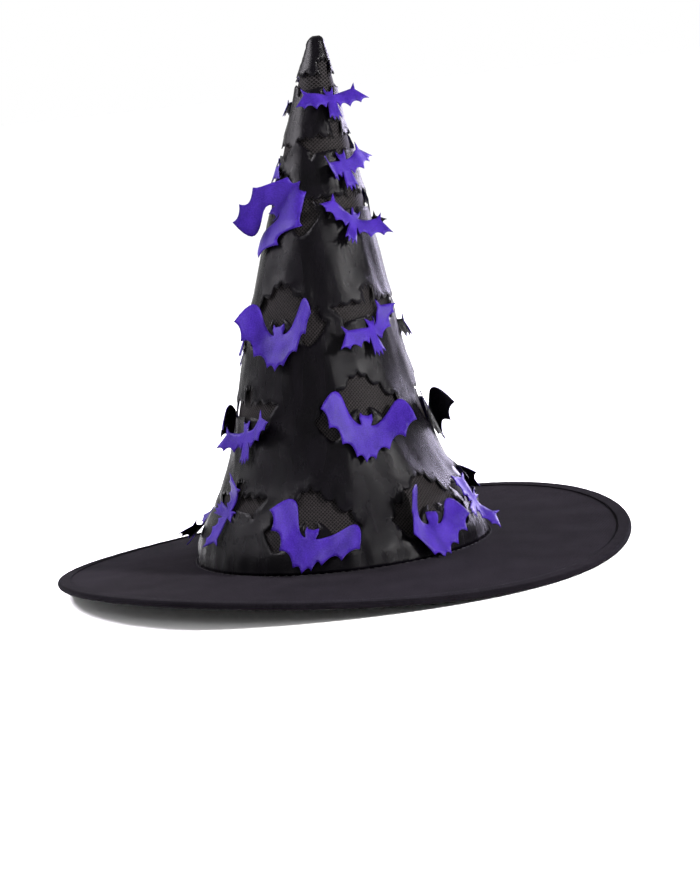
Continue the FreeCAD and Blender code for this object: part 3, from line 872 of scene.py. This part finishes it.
class Nodes:
    """Short ways to build a material's node tree."""

    def __init__(self, name):
        self.material = bpy.data.materials.new(name)
        self.material.use_nodes = True
        self.tree = self.material.node_tree
        self.shader = self.tree.nodes["Principled BSDF"]

    def add(self, kind, **inputs):
        node = self.tree.nodes.new(kind)
        for key, value in inputs.items():
            if key in node.inputs:
                node.inputs[key].default_value = value
            else:
                setattr(node, key, value)
        return node

    def link(self, source, target):
        self.tree.links.new(source, target)

    def put(self, **values):
        for key, value in values.items():
            self.shader.inputs[key.replace("_", " ")].default_value = value

    def weave_place(self):
        return self.add("ShaderNodeUVMap", uv_map="Weave").outputs[0]

    def object_place(self):
        return self.add("ShaderNodeTexCoord").outputs["Object"]

    def noise(self, place, scale, detail=3.0):
        node = self.add("ShaderNodeTexNoise", Scale=scale, Detail=detail)
        self.link(place, node.inputs["Vector"])
        return node.outputs[0]

    def waves(self, place, turn, scale, distortion=0.0):
        turned_place = self.add("ShaderNodeMapping")
        turned_place.inputs["Rotation"].default_value = (0, 0, math.radians(turn))
        self.link(place, turned_place.inputs["Vector"])
        node = self.add("ShaderNodeTexWave", Scale=scale, Distortion=distortion)
        node.wave_profile = "SIN"
        self.link(turned_place.outputs[0], node.inputs["Vector"])
        return node.outputs["Fac"]

    def streaks(self, place, scale, length, detail=3.0):
        """Noise drawn out upwards, to a length in widths."""
        drawn = self.add("ShaderNodeMapping")
        drawn.inputs["Scale"].default_value = (1, 1, 1 / length)
        self.link(place, drawn.inputs["Vector"])
        return self.noise(drawn.outputs[0], scale, detail)

    def sum(self, how, first, second):
        node = self.add("ShaderNodeMath", operation=how)
        for source, target in ((first, node.inputs[0]), (second, node.inputs[1])):
            if isinstance(source, (int, float)):
                target.default_value = source
            else:
                self.link(source, target)
        return node.outputs[0]

    def ramp(self, value, *stops):
        node = self.add("ShaderNodeValToRGB")
        line = node.color_ramp.elements
        while len(line) < len(stops):
            line.new(0.5)
        for element, (spot, colour) in zip(line, stops):
            element.position = spot
            element.color = (*colour, 1)
        self.link(value, node.inputs[0])
        return node.outputs[0]

    def bump(self, value, strength, distance):
        node = self.add("ShaderNodeBump", Strength=strength, Distance=distance)
        self.link(value, node.inputs["Height"])
        self.link(node.outputs[0], self.shader.inputs["Normal"])


def satin(name, dark, light, rough, shine, sheen, tint):
    """Satin with a fine slanting weave, slubs, and upright streaks of painted fold shade and sheen in
    its colour; its roughness varies along the same streaks.
    """
    make = Nodes(name)
    place = make.weave_place()
    upright = make.object_place()
    slub = make.noise(place, 1100, 3)
    # Long upright streaks: painted shade and sheen of soft folds in the colour, and changing
    # roughness.
    painted_shade_and_gloss_streak = make.streaks(upright, 130, 9, 5)
    tone = make.sum("ADD", make.sum("MULTIPLY", slub, 0.5), make.sum("MULTIPLY", painted_shade_and_gloss_streak, 0.5))
    # The base colour is the slubs plus the painted fold shade and sheen.
    make.link(make.ramp(tone, (0.36, dark), (0.64, light)), make.shader.inputs["Base Color"])
    weave = make.sum("MULTIPLY", make.waves(place, 63, 620), make.waves(place, -27, 620))
    height = make.sum("ADD", weave, make.sum("MULTIPLY", slub, 1.6))
    height = make.sum("ADD", height, make.sum("MULTIPLY", make.streaks(upright, 240, 7, 2), 0.8))
    make.bump(height, 0.4, 0.00016)
    rough_tone = make.sum("ADD", make.sum("MULTIPLY", painted_shade_and_gloss_streak, 0.14), rough - 0.07)
    make.link(rough_tone, make.shader.inputs["Roughness"])
    make.put(Sheen_Weight=sheen, Sheen_Roughness=0.35, Sheen_Tint=(*tint, 1),
             Specular_IOR_Level=shine)
    return make.material


def plain_cloth(name, dark, light, scale, rough=0.8, sheen=0.01, depth=0.0002):
    """Plain weave, matte, with threads across and along."""
    make = Nodes(name)
    place = make.object_place()
    across, along = make.waves(place, 0, scale), make.waves(place, 90, scale)
    weave = make.sum("MAXIMUM", across, along)
    blotch = make.sum("MULTIPLY", make.noise(place, 60, 5), 0.65)
    tone = make.sum("ADD", make.sum("MULTIPLY", weave, 0.35), blotch)
    make.link(make.ramp(tone, (0.3, dark), (0.8, light)), make.shader.inputs["Base Color"])
    height = make.sum("ADD", weave, make.sum("MULTIPLY", make.noise(place, 700, 2), 0.7))
    make.bump(height, 0.6, depth)
    make.put(Roughness=rough, Sheen_Weight=sheen, Sheen_Roughness=0.45,
             Sheen_Tint=(0.8, 0.74, 0.9, 1), Specular_IOR_Level=0.008)
    return make.material


def net_weave(name):
    """Open net: light threads in two slanting directions over dark gaps."""
    make = Nodes(name)
    place = make.weave_place()
    threads = []
    for turn in (40, -50):
        line = make.waves(place, turn, 185)
        threads.append(make.ramp(line, (0.55, (0, 0, 0)), (0.85, (1, 1, 1))))
    grid = make.sum("MAXIMUM", *threads)
    fray = make.sum("MULTIPLY", make.noise(place, 500, 3), 0.5)
    tone = make.sum("MULTIPLY", grid, make.sum("ADD", fray, 0.55))
    make.link(make.ramp(tone, (0.3, (0.0003, 0.0003, 0.0003)), (0.55, (0.001, 0.0008, 0.0009)),
                        (0.9, (0.016, 0.014, 0.0145))), make.shader.inputs["Base Color"])
    make.bump(grid, 1.0, 0.0005)
    make.put(Roughness=0.6, Specular_IOR_Level=0.03)
    return make.material


def ribbed(name, dark, light):
    """Grosgrain ribbon, with ribs up its width."""
    make = Nodes(name)
    place = make.weave_place()
    ribs = make.waves(place, 0, 260)
    make.link(make.ramp(ribs, (0.1, dark), (0.9, light)), make.shader.inputs["Base Color"])
    make.bump(ribs, 0.8, 0.0003)
    make.put(Roughness=0.6, Sheen_Weight=0.2)
    return make.material


def metal(name, colour, rough):
    """Drawn metal with faint lines."""
    make = Nodes(name)
    place = make.object_place()
    lines = make.noise(place, 1500, 2)
    make.link(make.ramp(lines, (0.3, tuple(0.8 * c for c in colour)), (0.7, colour)),
              make.shader.inputs["Base Color"])
    make.bump(lines, 0.2, 0.00005)
    make.put(Metallic=1.0, Roughness=rough)
    return make.material


def thread(name):
    """Twisted thread."""
    make = Nodes(name)
    place = make.object_place()
    twist = make.waves(place, 45, 1800)
    make.link(make.ramp(twist, (0.1, (0.0015, 0.0015, 0.002)), (0.9, (0.006, 0.0055, 0.007))),
              make.shader.inputs["Base Color"])
    make.bump(twist, 0.6, 0.0001)
    make.put(Roughness=0.6, Sheen_Weight=0.01, Specular_IOR_Level=0.1)
    return make.material


# ------------ camera, light and the floor


def place_camera():
    """Camera 1.7 m away, 10 degrees above the brim's plane, with the hat tipped in its view."""
    away, above, tipped, up_aim, side_aim = 1.7, 10.18, -6.45, 2.405, 0.138
    data = bpy.data.cameras.new("camera")
    data.sensor_width = 36
    data.lens = 108.3
    data.clip_start = 0.05
    camera = bpy.data.objects.new("camera", data)
    bpy.context.scene.collection.objects.link(camera)
    target = Vector((0, 0, BRIM_TOP * MM))
    tall = math.radians(above)
    back = Vector((0, -math.cos(tall), math.sin(tall)))
    look = (-back).to_track_quat("-Z", "Y").to_matrix()
    look = look @ Matrix.Rotation(math.radians(tipped), 3, "Z")
    look = look @ Matrix.Rotation(math.radians(up_aim), 3, "X")
    look = look @ Matrix.Rotation(-math.radians(side_aim), 3, "Y")
    camera.matrix_world = Matrix.Translation(target + back * away) @ look.to_4x4()
    bpy.context.scene.camera = camera


def area_light(name, place, size, power, colour=(1, 1, 1)):
    data = bpy.data.lights.new(name, "AREA")
    data.shape, data.size, data.energy, data.color = "DISK", size, power, colour
    light = bpy.data.objects.new(name, data)
    bpy.context.scene.collection.objects.link(light)
    light.location = place
    light.visible_camera = False
    light.rotation_mode = "QUATERNION"
    light.rotation_quaternion = (Vector((0, 0, 0.13)) - Vector(place)).to_track_quat("-Z", "Y")


def studio():
    """Pale floor and surroundings, a soft sun from above, a small strong light from the front
    right, a weak one in front, a lilac rim behind on the right and one over the left."""
    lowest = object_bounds()[0].z
    size = 60.0
    corners = ((-1, -1), (1, -1), (1, 1), (-1, 1))
    floor = mesh("floor", [(x * size / MM, y * size / MM, lowest / MM - 0.3) for x, y in corners],
                 [(0, 1, 2, 3)])
    make = Nodes("floor_paint")
    tone = make.noise(make.object_place(), 3, 2)
    make.link(make.ramp(tone, (0.3, (0.88, 0.88, 0.89)), (0.7, (0.92, 0.92, 0.92))),
              make.shader.inputs["Base Color"])
    make.put(Roughness=0.9, Specular_IOR_Level=0.1)
    dress(floor, make.material)
    scene = bpy.context.scene
    scene.view_settings.view_transform = "Standard"
    scene.world = bpy.data.worlds.new("surround")
    scene.world.use_nodes = True
    surround = scene.world.node_tree.nodes["Background"]
    surround.inputs["Color"].default_value = (1.0, 1.0, 1.0, 1)
    surround.inputs["Strength"].default_value = 1.0
    sun = bpy.data.lights.new("ceiling", "SUN")
    sun.energy, sun.angle = 0.5, math.radians(60)
    ceiling = bpy.data.objects.new("ceiling", sun)
    scene.collection.objects.link(ceiling)
    area_light("key", (1.8, -1.25, 0.9), 0.3, 200, (1, 0.98, 0.98))
    area_light("front", (-0.5, -2.2, 1.3), 0.8, 12)
    area_light("rim_right", (1.2, 1.5, 0.5), 0.6, 40, (0.8, 0.74, 1))
    area_light("overhead_left", (-0.5, 0.05, 0.58), 0.35, 15, (0.97, 0.93, 1))


# ------------ put together

# Each satin's dark and light colours are the ends of its slubs and of its painted fold shade and
# sheen.
black_satin = satin("black_satin", (0.0002, 0.0001, 0.0004), (0.001, 0.0007, 0.0014), 0.27, 0.042,
                    0.006, (0.85, 0.78, 0.8))
purple_satin = satin("purple_satin", (0.0075, 0.0018, 0.06), (0.021, 0.0075, 0.125), 0.34, 0.05, 0.02,
                     (0.75, 0.65, 1.0))
brim_cloth = plain_cloth("brim_cloth", (0.0013, 0.0011, 0.0016), (0.0048, 0.0039, 0.0054), 330)
tape_cloth = plain_cloth("tape_cloth", (0.001, 0.0008, 0.0012), (0.0036, 0.003, 0.0041), 330)
felt = plain_cloth("pressed_felt", (0.02, 0.02, 0.02), (0.05, 0.05, 0.05), 120, rough=0.95)
net = net_weave("stiff_net")
ribbon = ribbed("grosgrain", (0.008, 0.008, 0.009), (0.03, 0.03, 0.033))
steel = metal("spring_steel", (0.55, 0.55, 0.56), 0.35)
crimp = metal("crimp_alloy", (0.75, 0.75, 0.77), 0.3)
dark_thread = thread("dark_thread")

make_satin(black_satin, purple_satin)
make_net(net)
for joint in frame["joints"]:
    make_flap(joint, purple_satin, black_satin)
make_brim(brim_cloth, felt, tape_cloth, steel, crimp)
make_sweatband(ribbon)
foot_ring, edge_ring = CROWN[0][1] + CROWN_STITCHES_OUT, BRIM_RADIUS - EDGE_STITCHES_IN
stitch_row("crown_foot_stitches", brim_stitches(CROWN_STITCHES, foot_ring, BRIM_TOP + 0.1),
           "crown_seam_stitches", dark_thread)
stitch_row("brim_edge_stitches", brim_stitches(EDGE_STITCHES, edge_ring, TAPE_TOP - 0.1),
           "edge_topstitch", dark_thread)
stitch_row("crown_back_stitches", seam_stitches(), "back_seam_stitches", dark_thread)
stitch_row("head_ribbon_stitches", band_stitches(BAND_STITCHES), "sweatband_stitches", dark_thread)

place_camera()
studio()
